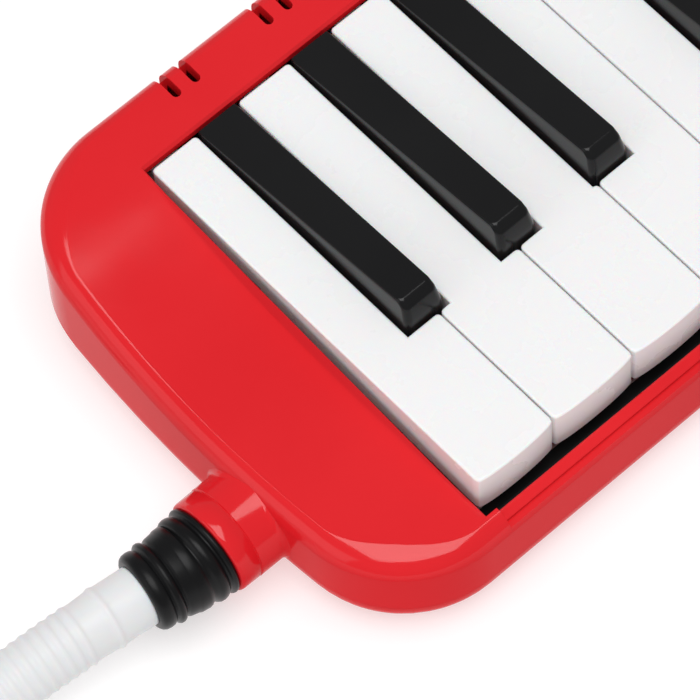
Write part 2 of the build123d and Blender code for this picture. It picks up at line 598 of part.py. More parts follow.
def make_button():
    """Drain button: a cap in the right wall on a stem that carries the seal inside the chest."""
    cap = rod_x(RIGHT_END - 4, RIGHT_END + BUTTON_OUT, DRAIN_Y, DRAIN_Z, BUTTON_R)
    cap = fillet([e for e in cap.edges() if e.center().X > RIGHT_END], 0.8)
    stem = rod_x(POCKET_END - 4.3, RIGHT_END - 3, DRAIN_Y, DRAIN_Z, 1.2)
    return cap + stem + rod_x(POCKET_END - 4.3, POCKET_END - 3.1, DRAIN_Y, DRAIN_Z, 2.4)


# ---------------------------------------------------------------- assembly

def make_keys():
    for step in range(KEY_COUNT):
        colour = "black" if is_sharp(step) else "white"
        key = make_black(step) if is_sharp(step) else make_white(step)
        save(f"key_{step + 1:02d}_{colour}", key, pad(step))


def make_screws():
    case = [screw(x, y, SHELL_BOTTOM + 1.2, -14.0, 1.05, 2.5, 1.8) for x, y in CASE_SCREWS + FLOOR_SCREWS]
    save("case_screws", *case)
    save("frame_screws", *[screw(x, y, TRAY_TOP - 1.5, EAR_TOP + 4, 0.85, 1.9, 1.5) for x, y in EAR_SCREWS])
    save("chest_screws", *[screw(x, CHEST_SCREW_Y, CHEST_BOTTOM + 0.4, -13.0, 0.8, 1.6, 1.2) for x in CHEST_SCREWS])
    places = plate_screws(0, 15) + plate_screws(16, 31)
    save("plate_screws", *[screw(x, y, PLATE_BOTTOM - 0.7, CELL_BOTTOM + 3, 0.7, 1.1, 0.7) for x, y in places])


upper = make_upper()
save("upper_case", upper)
lower, lower_outer = make_lower()
save("lower_case", lower)
case_outer = fillet(top_rim(case_solid(0, 0, PART_LINE)), TOP_FILLET) + lower_outer
save("blow_socket", make_socket(case_outer))
save("rubber_feet", *[rod_z(x, y, FLOOR, SHELL_BOTTOM + FOOT_SINK, FOOT_R - 0.05) for x, y in FEET])

save("hose_connector", make_connector())
save("socket_seal", ring(SEAL_X - 0.9, SEAL_X + 0.9, PORT_BORE_R - 0.03) - ring(SEAL_X - 2, SEAL_X + 2, 5.6))
hose, hose_points = make_hose()
save("hose", hose)
save("mouthpiece", make_mouthpiece(hose_points))

make_keys()
save("key_frame", make_frame())
save("pivot_rod", rod_x(0.15, 366.4, PIVOT_Y, PIVOT_Z, ROD_R))
save("key_springs", *[coil(tail_x(i), SPRING_Y, DECK_TOP, SEAT_Z, 1.9, 4, 0.25) for i in range(KEY_COUNT)])
save("key_stop_felt", block(2, WELL_LENGTH - 2, -86, -78, TRAY_TOP, TRAY_TOP + 1.6))

save("reed_plate_low", make_plate(0, 15))
save("reed_plate_high", make_plate(16, 31))
save("reeds", *make_reeds())
save("reed_rivets", *make_rivets())
save("chest_gasket", make_gasket())
save("wind_chest", make_chest())
save("air_duct", make_duct())
save("duct_seal", ring(SOCKET_END, DUCT_START, SPIGOT_R) - ring(SOCKET_END - 1, DUCT_START + 1, PORT_BORE_R))

save("drain_button", make_button())
seal_face = POCKET_END - CHEST_WALL - 0.05
save("drain_seal", rod_x(POCKET_END - 3.1, seal_face, DRAIN_Y, DRAIN_Z, 3.9) - rod_x(300, 400, DRAIN_Y, DRAIN_Z, 1.2))
spring = Rot(0, 90, 0) * coil(0, 0, 0, RIGHT_END - 4 - POCKET_END, 2.4, 7, 0.3)
save("drain_spring", Pos(POCKET_END, DRAIN_Y, DRAIN_Z) * spring)
save("drain_tube", rod_x(POCKET_END, RIGHT_END - 6.4, DRAIN_Y, DRAIN_Z, 4.6) - rod_x(300, 400, DRAIN_Y, DRAIN_Z, 3.5))

make_screws()
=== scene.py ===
import json
import math

import bmesh
import bpy
from mathutils import Matrix, Vector
from mathutils.geometry import delaunay_2d_cdt


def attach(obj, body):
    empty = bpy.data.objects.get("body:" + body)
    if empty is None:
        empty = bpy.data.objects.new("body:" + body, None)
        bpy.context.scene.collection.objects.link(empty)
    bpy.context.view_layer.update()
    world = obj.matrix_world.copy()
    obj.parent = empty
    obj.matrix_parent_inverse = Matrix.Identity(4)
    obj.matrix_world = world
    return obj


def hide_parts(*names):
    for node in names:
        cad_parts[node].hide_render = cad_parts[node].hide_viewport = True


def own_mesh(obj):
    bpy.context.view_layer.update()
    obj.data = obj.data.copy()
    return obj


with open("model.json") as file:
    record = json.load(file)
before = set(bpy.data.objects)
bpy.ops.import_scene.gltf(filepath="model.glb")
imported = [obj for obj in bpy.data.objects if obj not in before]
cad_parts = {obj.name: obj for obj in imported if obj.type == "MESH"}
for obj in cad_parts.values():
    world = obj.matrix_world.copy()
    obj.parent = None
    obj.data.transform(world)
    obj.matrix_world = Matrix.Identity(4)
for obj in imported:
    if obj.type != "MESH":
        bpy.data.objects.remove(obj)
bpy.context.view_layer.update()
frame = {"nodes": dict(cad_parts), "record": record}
scene = bpy.context.scene
nodes = frame["nodes"]
slot_of = {part["node"]: part["material_slot"] for part in frame["record"]["subparts"]}
DATUM = Vector((-0.18175, 0.0407, 0.0315))      # the key well's back left corner, at the white keys' top

# ------------------------------------------------------------------ camera

CAMERA_PLACE = (-0.49843, -0.41605, 0.97186)
CAMERA_RIGHT = (0.7415, -0.6699, -0.0360)
CAMERA_UP = (0.6012, 0.6398, 0.4788)
CAMERA_BACK = (-0.2978, -0.3767, 0.8772)
SENSOR_MM = 36.0
LENS_MM = 307.6

camera_data = bpy.data.cameras.new("camera")
camera_data.sensor_width = SENSOR_MM
camera_data.lens = LENS_MM
camera_data.clip_start = 0.05
camera = bpy.data.objects.new("camera", camera_data)
scene.collection.objects.link(camera)
turn = Matrix((CAMERA_RIGHT, CAMERA_UP, CAMERA_BACK)).transposed().to_4x4()
camera.matrix_world = Matrix.Translation(CAMERA_PLACE) @ turn
scene.camera = camera

# ------------------------------------------------------------------ materials


class Shader:
    """A Principled material that is built up from noise, roughness and bump layers."""

    def __init__(self, name, **plain):
        self.material = bpy.data.materials.new(name)
        self.material.use_nodes = True
        self.tree = self.material.node_tree
        self.surface = self.tree.nodes["Principled BSDF"]
        self.place = self.tree.nodes.new("ShaderNodeTexCoord").outputs["Object"]
        for socket, value in plain.items():
            self.surface.inputs[socket.replace("_", " ")].default_value = value
        self.height = None

    def node(self, kind, **settings):
        made = self.tree.nodes.new(kind)
        for key, value in settings.items():
            setattr(made, key, value)
        return made

    def link(self, start, end):
        self.tree.links.new(start, end)

    def noise(self, scale, detail=4.0, stretch=(1.0, 1.0, 1.0)):
        spread = self.node("ShaderNodeMapping")
        spread.inputs["Scale"].default_value = stretch
        self.link(self.place, spread.inputs["Vector"])
        cloud = self.node("ShaderNodeTexNoise")
        cloud.inputs["Scale"].default_value = scale
        cloud.inputs["Detail"].default_value = detail
        self.link(spread.outputs["Vector"], cloud.inputs["Vector"])
        return cloud.outputs["Fac"]

    def colours(self, low, high, field, start=0.35, end=0.65):
        ramp = self.node("ShaderNodeValToRGB")
        ramp.color_ramp.elements[0].position, ramp.color_ramp.elements[1].position = start, end
        ramp.color_ramp.elements[0].color = (*low, 1.0)
        ramp.color_ramp.elements[1].color = (*high, 1.0)
        self.link(field, ramp.inputs["Fac"])
        self.link(ramp.outputs["Color"], self.surface.inputs["Base Color"])

    def spread(self, field, start, end, low, high, **settings):
        """The field's stretch from start to end, turned into low to high."""
        node = self.node("ShaderNodeMapRange", **settings)
        for socket, value in zip(("From Min", "From Max", "To Min", "To Max"), (start, end, low, high)):
            node.inputs[socket].default_value = value
        self.link(field, node.inputs["Value"])
        return node.outputs["Result"]

    def roughness(self, low, high, field):
        self.link(self.spread(field, 0.3, 0.7, low, high), self.surface.inputs["Roughness"])

    def bump(self, field, strength, depth):
        bump = self.node("ShaderNodeBump")
        bump.inputs["Strength"].default_value = strength
        bump.inputs["Distance"].default_value = depth
        self.link(field, bump.inputs["Height"])
        if self.height is not None:
            self.link(self.height, bump.inputs["Normal"])
        self.height = bump.outputs["Normal"]
        self.link(self.height, self.surface.inputs["Normal"])


COLOUR_DRIFT, POLISH, WAVES = 25.0, 90.0, 60.0  # scales of the noise in moulded plastic


def moulded_shader(name, low, high, rough, grain, grain_depth, **plain):
    """Moulded plastic or rubber: slow colour drift, uneven polish and a fine skin."""
    made = Shader(name, **plain)
    made.colours(low, high, made.noise(COLOUR_DRIFT))
    made.roughness(*rough, made.noise(POLISH, 6.0))
    made.bump(made.noise(WAVES, 2.0), 0.05, 0.0001)
    made.bump(made.noise(grain, 3.0), 0.25, grain_depth)
    return made


def moulded(*settings, **plain):
    return moulded_shader(*settings, **plain).material


def glossy_top(made, wall_gloss, top_gloss):
    """The material of a shader that is made glossier on upper faces than on walls."""
    facing = made.node("ShaderNodeSeparateXYZ")
    made.link(made.node("ShaderNodeNewGeometry").outputs["Normal"], facing.inputs["Vector"])
    gloss = made.spread(facing.outputs["Z"], 0.05, 0.75, wall_gloss, top_gloss,
                        interpolation_type="SMOOTHSTEP")
    made.link(gloss, made.surface.inputs["Specular IOR Level"])
    return made.material


def metal(name, low, high, rough, stretch):
    """Bright metal with drawn or rolled lines along one way."""
    made = Shader(name, Metallic=1.0)
    lines = made.noise(900.0, 5.0, stretch)
    made.colours(low, high, lines)
    made.roughness(*rough, lines)
    made.bump(lines, 0.3, 0.00004)
    return made.material


def felt(name):
    made = Shader(name, Sheen_Weight=0.6, Sheen_Roughness=0.5)
    fibre = made.noise(2200.0, 8.0)
    made.colours((0.20, 0.02, 0.03), (0.42, 0.06, 0.07), fibre)
    made.roughness(0.85, 1.0, made.noise(300.0))
    made.bump(fibre, 0.9, 0.0004)
    return made.material


STEEL_LINES, BRASS_LINES = (0.05, 1.0, 1.0), (1.0, 0.05, 1.0)
materials = {
    "red_case": glossy_top(
        moulded_shader(
            "red_case", (0.700, 0.012, 0.018), (0.735, 0.015, 0.021), (0.08, 0.13), 1500.0, 0.000004),
        wall_gloss=0.02, top_gloss=0.32),
    "white_key": moulded(
        "white_key", (0.885, 0.88, 0.885), (0.895, 0.89, 0.895), (0.25, 0.30), 1800.0, 0.000004,
        Subsurface_Weight=0.25, Subsurface_Scale=0.002, Specular_IOR_Level=0.35),
    "black_key": moulded(
        "black_key", (0.007, 0.007, 0.0075), (0.009, 0.009, 0.0095), (0.14, 0.20), 1500.0, 0.000004,
        Specular_IOR_Level=0.22),
    "black_rubber": moulded(
        "black_rubber", (0.004, 0.004, 0.0045), (0.006, 0.006, 0.0065), (0.26, 0.36), 1400.0, 0.00001,
        Specular_IOR_Level=0.16),
    "black_frame": moulded(
        "black_frame", (0.004, 0.004, 0.004), (0.006, 0.006, 0.006), (0.45, 0.6), 1200.0, 0.00002,
        Specular_IOR_Level=0.15),
    "ivory_plastic": moulded(
        "ivory_plastic", (0.78, 0.77, 0.74), (0.84, 0.83, 0.80), (0.2, 0.3), 1500.0, 0.000006),
    "hose_plastic": moulded(
        "hose_plastic", (0.74, 0.75, 0.76), (0.80, 0.81, 0.82), (0.32, 0.42), 1300.0, 0.000005,
        Subsurface_Weight=0.2, Subsurface_Scale=0.003, Specular_IOR_Level=0.25),
    "foam": moulded("foam", (0.05, 0.05, 0.05), (0.09, 0.09, 0.09), (0.85, 0.95), 900.0, 0.0002),
    "steel": metal("steel", (0.52, 0.52, 0.54), (0.66, 0.66, 0.68), (0.22, 0.34), STEEL_LINES),
    "plate_metal": metal("plate_metal", (0.66, 0.66, 0.68), (0.78, 0.78, 0.80), (0.28, 0.42), STEEL_LINES),
    "brass": metal("brass", (0.68, 0.50, 0.22), (0.82, 0.64, 0.32), (0.24, 0.38), BRASS_LINES),
    "felt": felt("felt"),
}
for name, piece in nodes.items():
    piece.data.materials.clear()
    piece.data.materials.append(materials[slot_of[name]])


def mesh_object(name, verts, faces):
    """A new mesh object from points in metres in the frame."""
    mesh = bpy.data.meshes.new(name)
    mesh.from_pydata([tuple(v) for v in verts], [], faces)
    mesh.update()
    made = bpy.data.objects.new(name, mesh)
    scene.collection.objects.link(made)
    return made


def stand_in(piece, body, node, slot):
    """The piece takes the place of a CAD node, moves with a body and wears its slot's material."""
    piece.data.materials.append(materials[slot])
    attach(piece, body)
    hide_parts(node)

# ------------------------------------------------------------------ hose

ROUTE_Z = -25.2
HOSE_ROUTE = [DATUM + Vector(p) / 1000 for p in [           # as in part.py, in mm from the datum
    (-52.33, -56.58, -18.0), (-68.01, -54.66, -18.0), (-86.0, -52.4, -21.2), (-105.0, -52.2, -24.6),
    (-128.0, -55.6, ROUTE_Z), (-155.2, -57.7, ROUTE_Z), (-181.8, -50.0, ROUTE_Z), (-203.4, -32.6, ROUTE_Z),
    (-216.7, -8.4, ROUTE_Z), (-219.7, 19.2, ROUTE_Z), (-212.0, 45.8, ROUTE_Z), (-194.6, 67.4, ROUTE_Z),
    (-170.4, 80.7, ROUTE_Z), (-142.8, 83.7, ROUTE_Z), (-116.2, 76.0, ROUTE_Z), (-94.6, 58.6, ROUTE_Z),
    (-81.3, 34.4, ROUTE_Z)]]
HOSE_R = 0.0063
CUFF_R, CUFF_LENGTH, CUFF_TAPER = 0.0060, 0.0075, 0.0002
BEAD_R, BEAD_WIDTH = 0.0063, 0.0006
RIDGE_START, RIDGE_PITCH = 0.0125, 0.0021
RIDGE_DEPTH, GROOVE = 0.00028, 0.0005           # the ridges' height, and how far their feet are inside HOSE_R
FADE_START, FADE_END = 0.012, 0.006             # the ridges' last stretch, measured back from the mouthpiece
STEP = RIDGE_PITCH / 8
SIDES = 48


def spline_line(points):
    """The smooth line of a NURBS spline with these control points."""
    curve = bpy.data.curves.new("route", "CURVE")
    curve.dimensions = "3D"
    curve.resolution_u = 24
    spline = curve.splines.new("NURBS")
    spline.points.add(len(points) - 1)
    for point, place in zip(spline.points, points):
        point.co = (*place, 1.0)
    spline.order_u = 3
    spline.use_endpoint_u = True
    holder = bpy.data.objects.new("route", curve)
    mesh = bpy.data.meshes.new_from_object(holder)
    line = [v.co.copy() for v in mesh.vertices]
    bpy.data.objects.remove(holder)
    bpy.data.curves.remove(curve)
    bpy.data.meshes.remove(mesh)
    return line


def resample(line, step):
    """Points along the line an even distance apart, with its total length."""
    reach = [0.0]
    for a, b in zip(line, line[1:]):
        reach.append(reach[-1] + (b - a).length)
    count = round(reach[-1] / step)
    points, k = [], 0
    for i in range(count + 1):
        s = reach[-1] * i / count
        while k < len(line) - 2 and reach[k + 1] < s:
            k += 1
        share = (s - reach[k]) / (reach[k + 1] - reach[k])
        points.append(line[k].lerp(line[k + 1], share))
    return points, reach[-1]


def smooth_step(low, high, value):
    t = min(1.0, max(0.0, (value - low) / (high - low)))
    return t * t * (3 - 2 * t)


def hose_radius(s, length):
    """The cuff, its bead, and the ridges, which fade out at the mouthpiece."""
    if s < RIDGE_START:
        bead = (BEAD_R - CUFF_R) * math.exp(-((s - CUFF_LENGTH) / BEAD_WIDTH) ** 2)
        return CUFF_R - CUFF_TAPER * smooth_step(CUFF_LENGTH, RIDGE_START, s) + bead
    wave = 0.5 - 0.5 * math.cos(2 * math.pi * (s - RIDGE_START) / RIDGE_PITCH)
    fade = smooth_step(length - FADE_END, length - FADE_START, s)
    return HOSE_R - GROOVE + RIDGE_DEPTH * wave * fade


def tube(name, line, radius_at, sides):
    """A closed tube along a line, whose radius follows radius_at(distance, total length)."""
    points, length = line
    step = length / (len(points) - 1)
    verts, faces = [], []
    forward = (points[1] - points[0]).normalized()
    side = Vector((0, 0, 1)).cross(forward).normalized()
    for i, point in enumerate(points):
        ahead = points[min(i + 1, len(points) - 1)] - points[max(i - 1, 0)]
        forward = ahead.normalized()
        side = (side - forward * side.dot(forward)).normalized()
        up = forward.cross(side)
        r = radius_at(i * step, length)
        for k in range(sides):
            angle = 2 * math.pi * k / sides
            verts.append(point + side * (r * math.cos(angle)) + up * (r * math.sin(angle)))
    for i in range(len(points) - 1):
        for k in range(sides):
            a, b = i * sides + k, i * sides + (k + 1) % sides
            faces.append((a, b, b + sides, a + sides))
    faces.append(tuple(reversed(range(sides))))
    faces.append(tuple(range(len(verts) - sides, len(verts))))
    made = mesh_object(name, verts, faces)
    for polygon in made.data.polygons:
        polygon.use_smooth = len(polygon.vertices) == 4
    return made


hose_line = resample(spline_line(HOSE_ROUTE), STEP)
hose = tube("blowing_hose", hose_line, hose_radius, SIDES)
stand_in(hose, "body", "hose", "hose_plastic")

# ------------------------------------------------------------------ hose boot

PORT_Y, PORT_Z = -57.8, -18.0
PORT = Vector((-37.4, PORT_Y, PORT_Z))          # middle of the socket's rim, in mm from the datum
LEAN_AT, LEAN_SOFT = 5.0, 0.7                   # where the boot leans, and half the length of its bend
LEAN = math.radians(7.0)
BOOT_PROFILE = [            # (mm out from the socket's rim, radius)
    (-9.5, 4.4), (-9.5, 6.4), (-9.2, 6.7), (-0.4, 6.7), (-0.1, 7.0), (-0.05, 8.2), (0.12, 8.9),
    (0.38, 9.28), (0.75, 9.36), (1.05, 9.25), (1.25, 8.95), (1.4, 8.6), (1.65, 8.5), (1.9, 8.6),
    (2.15, 8.85), (2.6, 9.06), (3.2, 9.15), (3.8, 9.06), (4.2, 8.8), (4.45, 8.45), (4.7, 8.25),
    (4.95, 8.3), (5.15, 8.55), (5.5, 8.68), (6.9, 8.58), (7.15, 8.5), (7.35, 8.38), (8.9, 8.12),
    (9.25, 7.95), (9.45, 7.66), (9.7, 7.58), (9.95, 7.75), (10.2, 8.12), (10.6, 8.3), (11.1, 8.28),
    (11.4, 8.05), (11.62, 7.6), (11.85, 7.45), (12.1, 7.6), (12.45, 7.82), (13.2, 7.9), (14.0, 7.8),
    (14.55, 7.5), (14.88, 7.05), (15.0, 6.6), (15.0, 4.4)]


def boot_point(s, r, angle):
    """A point on the boot: straight out of the socket, then leaning to the back."""
    if s <= LEAN_AT - LEAN_SOFT:
        turn, along = 0.0, Vector((-s, 0, 0))
    else:
        share = min(1.0, (s - LEAN_AT + LEAN_SOFT) / (2 * LEAN_SOFT))
        turn = LEAN * share
        if share < 1.0:
            along = Vector((-s, math.tan(turn / 2) * (s - LEAN_AT + LEAN_SOFT), 0))
        else:
            out = s - LEAN_AT
            along = Vector((-LEAN_AT - out * math.cos(LEAN), out * math.sin(LEAN), 0))
    side = Vector((math.sin(turn), math.cos(turn), 0))
    return PORT + along + side * (r * math.cos(angle)) + Vector((0, 0, r * math.sin(angle)))


def lathe(name, profile, place, sides, closed):
    """A round piece: each profile point becomes a ring, which place() gives in mm from the datum."""
    angles = [2 * math.pi * k / sides for k in range(sides)]
    verts = [DATUM + place(s, r, angle) / 1000 for s, r in profile for angle in angles]
    rows = len(profile)
    faces = []
    for i in range(rows if closed else rows - 1):
        j = (i + 1) % rows
        for k in range(sides):
            m = (k + 1) % sides
            faces.append((i * sides + k, i * sides + m, j * sides + m, j * sides + k))
    made = mesh_object(name, verts, faces)
    finish_surface(made)
    return made


def finish_surface(piece, angle=50.0):
    """Outward faces, and smooth shading that keeps edges sharper than the angle."""
    work = bmesh.new()
    work.from_mesh(piece.data)
    bmesh.ops.recalc_face_normals(work, faces=work.faces)
    work.to_mesh(piece.data)
    work.free()
    piece.data.shade_smooth()
    piece.data.set_sharp_from_angle(angle=math.radians(angle))


boot = lathe("hose_boot", BOOT_PROFILE, boot_point, sides=96, closed=True)
stand_in(boot, "body", "hose_connector", "black_rubber")

# ------------------------------------------------------------------ upper case

WELL_LENGTH = 370.5                             # all in mm from the datum, as in part.py
CASE_BACK, CASE_FRONT = 14.3, -95.7
MIDDLE_Y = (CASE_BACK + CASE_FRONT) / 2
PART_LINE = -21.5
END_R, END_CENTRE = 345.95, 318.15              # each end is a shallow arc about this x and its mirror image
CORNER_R = 24.0
END_STEPS, CORNER_STEPS = 64, 32
FRONT_TOP = -6.8                                # the top's height along the front
TOP_PROFILE = [                                 # (y, z) from front to back
    (-110, FRONT_TOP), (-72, FRONT_TOP), (-45, -5.9), (-25, -3.9), (-9, -1.1), (3, 1.25), (30, 1.8)]
PROFILE_SWEEPS, PROFILE_STEPS = 200, 40
ROUND_R = 4.3                                   # the band round the top, and the crease that ends it
CREASE, CREASE_R = math.radians(14.0), 0.5
CORNER_SPREAD = 0.65                            # how much wider the band is at the corners
BAND_STEPS = 12
RAIL_BACK, RAIL_STEP_Y = -91.6, -94.0           # the rail in front of the keys, with a step along it
RAIL_TOP, RAIL_LOW, RAIL_FOOT = -8.4, -9.2, -12.5
RAIL_INSET, RAIL_ROUND, RAIL_STEPS = 2.4, 0.12, 5
EDGE_R, EDGE_STEPS = 0.35, 4                    # round edge of the key well
WELL_FOOT, WELL_FOOT_REAR, WELL_FOOT_TURN = -14.0, -10.2, -44.4     # the end walls' feet, and where they rise
WELL_STEPS = 60
LIP = 0.93                                      # where the well's back lip starts
LIP_FRONT, LIP_LOW, LIP_FOOT, LIP_REAR = 0.4, 0.31, -1.2, 2.2
VENT_HALF, VENT_INNER, VENT_LOW, VENT_SPREAD = 0.95, 8.1, -3.5, 2.35    # the air slots
VENT_PAIRS, VENT_STEPS = 16, 12
FIRST_TAIL, TAIL_PITCH = 5.7, 11.375            # the keys' tails, which the air slots' pairs are in line with
WALL, ROOF_LOW = 2.2, -1.3
SHELL_STEP, SHELL_ROUND, SHELL_TURN = 0.3, 8.0, -22.5       # the lower shell's round edge
GRID_REACH, GRID_END, GRID_ROW = 26, 3.1, 0.9   # extra points on the top: columns at the ends, and rows
GRID_BACK, BACK_ROWS = 4.3, (2.2, 3.6, 5.0, 6.4, 7.0, 9.0, 9.9)
SOCKET_HOLE_R, NOTCH_ROOM = 8.65, 0.2
BUTTON_Y, BUTTON_Z, BUTTON_HOLE_R = -30.0, -15.8, 4.25
HOLE_STEPS = 64


def tail_x(step):
    return FIRST_TAIL + TAIL_PITCH * step


vents = [tail_x(1 + 2 * pair) + side * VENT_SPREAD for pair in range(VENT_PAIRS) for side in (-1, 1)]


def smooth_profile(points):
    """A smooth curve through points, level at both ends, as (y, z, slope) rows."""
    reach = [0.0]
    for a, b in zip(points, points[1:]):
        reach.append(reach[-1] + math.dist(a, b))
    count = len(points)
    curves = []
    for axis, end_slope in ((0, 1.0), (1, 0.0)):
        values = [p[axis] for p in points]
        slopes = [end_slope] * count
        for _ in range(PROFILE_SWEEPS):
            for i in range(1, count - 1):
                h0, h1 = reach[i] - reach[i - 1], reach[i + 1] - reach[i]
                pull = 3 * ((values[i] - values[i - 1]) / h0**2 + (values[i + 1] - values[i]) / h1**2)
                slopes[i] = (pull - slopes[i - 1] / h0 - slopes[i + 1] / h1) / (2 / h0 + 2 / h1)
        curves.append((values, slopes))
    made = []
    for i in range(count - 1):
        h = reach[i + 1] - reach[i]
        for k in range(PROFILE_STEPS):
            t = k / PROFILE_STEPS
            place, speed = [], []
            for values, slopes in curves:
                a, b, m, n = values[i], values[i + 1], slopes[i] * h, slopes[i + 1] * h
                place.append(a + m * t + (3 * (b - a) - 2 * m - n) * t**2 + (2 * (a - b) + m + n) * t**3)
                speed.append(m + 2 * (3 * (b - a) - 2 * m - n) * t + 3 * (2 * (a - b) + m + n) * t**2)
            made.append((place[0], place[1], speed[1] / speed[0]))
    return made


profile_rows = smooth_profile(TOP_PROFILE)


def top_at(y):
    """Height and slope of the case's top."""
    for a, b in zip(profile_rows, profile_rows[1:]):
        if a[0] <= y <= b[0]:
            t = (y - a[0]) / (b[0] - a[0])
            return a[1] + (b[1] - a[1]) * t, a[2] + (b[2] - a[2]) * t
    return profile_rows[-1][1], 0.0


def top_normal(y):
    return Vector((0, -top_at(y)[1], 1)).normalized()


def outline_points():
    """Points and outward directions round the case, clockwise from the front rail's left end."""
    corner_x = END_CENTRE - math.sqrt((END_R - CORNER_R)**2 - (CASE_BACK - CORNER_R - MIDDLE_Y)**2)
    turn = math.atan2(CASE_BACK - CORNER_R - MIDDLE_Y, corner_x - END_CENTRE)
    half = [(x, CASE_FRONT, -math.pi / 2) for x in (RAIL_INSET, 0.0)]
    for k in range(CORNER_STEPS + 1):
        angle = -math.pi / 2 - (math.pi / 2 - (math.pi - turn)) * k / CORNER_STEPS
        half.append((corner_x + CORNER_R * math.cos(angle),
                     CASE_FRONT + CORNER_R + CORNER_R * math.sin(angle), angle))
    for k in range(1, END_STEPS):
        angle = -turn - (2 * math.pi - 2 * turn) * k / END_STEPS
        half.append((END_CENTRE + END_R * math.cos(angle), MIDDLE_Y + END_R * math.sin(angle), angle))
    for k in range(CORNER_STEPS + 1):
        angle = turn - (turn - math.pi / 2) * k / CORNER_STEPS
        half.append((corner_x + CORNER_R * math.cos(angle),
                     CASE_BACK - CORNER_R + CORNER_R * math.sin(angle), angle))
    back = [x + side * VENT_HALF for x in vents for side in (-1, 1)]
    back += [(a + b) / 2 for a, b in zip(vents[1::2], vents[2::2])]
    middle = [(x, CASE_BACK, math.pi / 2) for x in sorted(back)]
    mirrored = [(WELL_LENGTH - x, y, math.pi - angle) for x, y, angle in reversed(half)]
    return [(Vector((x, y, 0)), Vector((math.cos(angle), math.sin(angle), 0)))
            for x, y, angle in half + middle + mirrored]


class Patchwork:
    """A mesh made of faces that carry their own normals, welded where their corners meet."""

    WELD_STEPS = 2000                           # per mm: corners in the same step become one
    LEAST_AREA = 1e-7

    def __init__(self):
        self.places, self.index, self.faces, self.normals = [], {}, [], []

    def vert(self, place):
        key = tuple(round(c * self.WELD_STEPS) for c in place)
        if key not in self.index:
            self.index[key] = len(self.places)
            self.places.append(Vector(place))
        return self.index[key]

    def face(self, corners):
        """Add a face from (place, normal) pairs, turned so that it faces along its normals."""
        keep = []
        for place, normal in corners:
            number = self.vert(place)
            if number not in [k[0] for k in keep]:
                keep.append((number, Vector(normal)))
        if len(keep) < 3:
            return
        spots = [self.places[k[0]] for k in keep]
        across = Vector()
        for a, b in zip(spots, spots[1:] + spots[:1]):
            across += (a - spots[0]).cross(b - spots[0])
        if across.length < self.LEAST_AREA:
            return
        if across.dot(sum((k[1] for k in keep), Vector())) < 0:
            keep.reverse()
        self.faces.append([k[0] for k in keep])
        self.normals.extend(tuple(k[1]) for k in keep)

    def strip(self, row_a, row_b):
        """Faces between two rows of (place, normal) pairs."""
        pairs = list(zip(row_a, row_b))
        for (a, b), (c, d) in zip(pairs, pairs[1:]):
            self.face([a, c, d, b])

    def flat(self, places, normal):
        self.face([(place, normal) for place in places])

    def build(self, name):
        made = mesh_object(name, [DATUM + p / 1000 for p in self.places], self.faces)
        made.data.shade_smooth()
        made.data.normals_split_custom_set(self.normals)
        return made


def inside(x, y, polygon):
    hit = False
    for (ax, ay), (bx, by) in zip(polygon, polygon[1:] + polygon[:1]):
        if (ay > y) != (by > y) and x < ax + (y - ay) * (bx - ax) / (by - ay):
            hit = not hit
    return hit


def triangles(polygon, holes=(), extra=()):
    """Triangles that fill a polygon, leaving its holes open, with extra points inside it."""
    def filled(place):
        return inside(*place, polygon) and not any(inside(*place, hole) for hole in holes)

    places, edges = [], []
    for loop in [polygon, *holes]:
        first = len(places)
        places += [Vector(p) for p in loop]
        edges += [(first + k, first + (k + 1) % len(loop)) for k in range(len(loop))]
    places += [Vector(p) for p in extra if filled(p)]
    made = delaunay_2d_cdt(places, edges, [], 0, 1e-5, False)
    for triangle in made[2]:
        corners = [made[0][k] for k in triangle]
        if filled(sum(corners, Vector((0, 0))) / 3):
            yield [tuple(p) for p in corners]


def plank(near, far):
    """Four corners between two edges along x, each given as (first x, last x, y, z)."""
    (a, b, y0, z0), (c, d, y1, z1) = near, far
    return [Vector((a, y0, z0)), Vector((b, y0, z0)), Vector((d, y1, z1)), Vector((c, y1, z1))]


def band_width(outward):
    """How wide the band is where the case's side faces this way, against its width on a straight side."""
    return 1 + CORNER_SPREAD * (2 * outward.x * outward.y)**2


def band_point(place, outward, angle):
    """A point and normal on the band round the top, from the wall (90 degrees) to the crease (CREASE)."""
    wide = band_width(outward)
    spot = place - outward * (ROUND_R * wide * (1 - math.sin(angle)))
    spot.z = top_at(spot.y)[0] - ROUND_R * (math.cos(CREASE) - math.cos(angle))
    normal = outward * math.sin(angle) + top_normal(spot.y) * (wide * math.cos(angle))
    return spot, normal.normalized()


def crease_point(place, outward, angle):
    """A point and normal on the crease between the band and the top."""
    inset = ROUND_R * band_width(outward) * (1 - math.sin(CREASE))
    spot = place - outward * (inset + CREASE_R * (math.sin(CREASE) - math.sin(angle)))
    spot.z = top_at(spot.y)[0]
    normal = outward * math.sin(angle) + top_normal(spot.y) * math.cos(angle)
    return spot, normal.normalized()


BAND = [math.pi / 2 - (math.pi / 2 - CREASE) * k / BAND_STEPS for k in range(BAND_STEPS + 1)]
outline = outline_points()
rows = [[band_point(p, n, angle) for p, n in outline] for angle in BAND]
rows += [[crease_point(p, n, angle) for p, n in outline] for angle in (CREASE / 2, 0.0)]
case = Patchwork()


def vent_gap(a, b):
    """Whether the stretch of outline between two of its points is an air slot."""
    on_back = a.y > CASE_BACK - 0.01 and b.y > CASE_BACK - 0.01
    return on_back and any(abs((a.x + b.x) / 2 - x) < 0.1 for x in vents)


def on_end(place):
    """Whether a point of the outline is on an end's arc, clear of the corners."""
    return CASE_FRONT + CORNER_R + 1 < place.y < CASE_BACK - CORNER_R - 1


